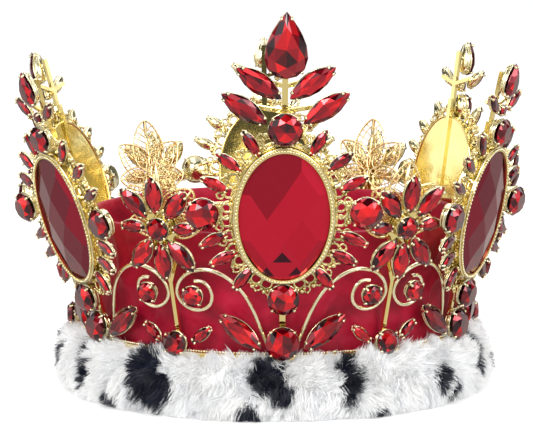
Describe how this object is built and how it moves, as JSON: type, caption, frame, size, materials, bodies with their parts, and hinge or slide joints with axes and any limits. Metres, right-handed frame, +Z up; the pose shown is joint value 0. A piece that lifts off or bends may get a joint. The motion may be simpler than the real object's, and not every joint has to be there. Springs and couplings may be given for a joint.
{
  "type": "jewelled crown",
  "caption": "Round pageant crown: faceted red stones in a pale gold openwork frame over a red velvet band, with a white fur trim round the foot.",
  "frame": {"origin": "centre of the flat underside of the fur trim, on the axis of the head opening", "axes": "+Z up along the crown's axis; the front medallion with the tall plume faces -Y; +X to the right of someone who looks at the front"},
  "size_m": [0.2377, 0.255, 0.1822],
  "materials": {
    "ruby_glass": "polished faceted ruby-red glass, foiled behind",
    "ruby_crystal": "polished faceted ruby-red crystal, foiled behind",
    "polished_gold": "smooth polished pale gold plate",
    "cast_gold": "cast pale gold plate with fine beading",
    "claw_gold": "bright pale gold claw cups",
    "wire_gold": "bright pale gold wire",
    "filigree_gold": "warm gold filigree wire",
    "red_velvet": "soft crimson velvet with a low sheen",
    "stiff_board": "matt stiffening board",
    "ermine_fur": "long soft white pile with black spots",
    "wadding": "loose white wadding"
  },
  "bodies": {
    "root": {"medallion_stone_front": "ruby_glass", "medallion_bezel_front": "polished_gold", "medallion_surround_front": "cast_gold", "medallion_stem_front": "polished_gold", "ray_stones_front": "ruby_crystal", "ray_settings_front": "claw_gold", "medallion_stone_front_right": "ruby_glass", "medallion_bezel_front_right": "polished_gold", "medallion_surround_front_right": "cast_gold", "medallion_stem_front_right": "polished_gold", "ray_stones_front_right": "ruby_crystal", "ray_settings_front_right": "claw_gold", "medallion_stone_back_right": "ruby_glass", "medallion_bezel_back_right": "polished_gold", "medallion_surround_back_right": "cast_gold", "medallion_stem_back_right": "polished_gold", "ray_stones_back_right": "ruby_crystal", "ray_settings_back_right": "claw_gold", "medallion_stone_back": "ruby_glass", "medallion_bezel_back": "polished_gold", "medallion_surround_back": "cast_gold", "medallion_stem_back": "polished_gold", "ray_stones_back": "ruby_crystal", "ray_settings_back": "claw_gold", "medallion_stone_back_left": "ruby_glass", "medallion_bezel_back_left": "polished_gold", "medallion_surround_back_left": "cast_gold", "medallion_stem_back_left": "polished_gold", "ray_stones_back_left": "ruby_crystal", "ray_settings_back_left": "claw_gold", "medallion_stone_front_left": "ruby_glass", "medallion_bezel_front_left": "polished_gold", "medallion_surround_front_left": "cast_gold", "medallion_stem_front_left": "polished_gold", "ray_stones_front_left": "ruby_crystal", "ray_settings_front_left": "claw_gold", "plume_stones_front": "ruby_crystal", "plume_settings_front": "claw_gold", "plume_stones_small": "ruby_crystal", "plume_settings_small": "claw_gold", "flower_stones": "ruby_crystal", "flower_settings": "claw_gold", "flower_stems": "polished_gold", "filigree_leaves": "filigree_gold", "scroll_wires": "wire_gold", "scroll_stones": "ruby_crystal", "scroll_settings": "claw_gold", "base_stones": "ruby_crystal", "base_settings": "claw_gold", "lower_hoop": "polished_gold", "beaded_hoop": "wire_gold", "velvet_cover": "red_velvet", "band_stiffener": "stiff_board", "ermine_trim": "ermine_fur", "trim_wadding": "wadding"}
  },
  "joints": []
}
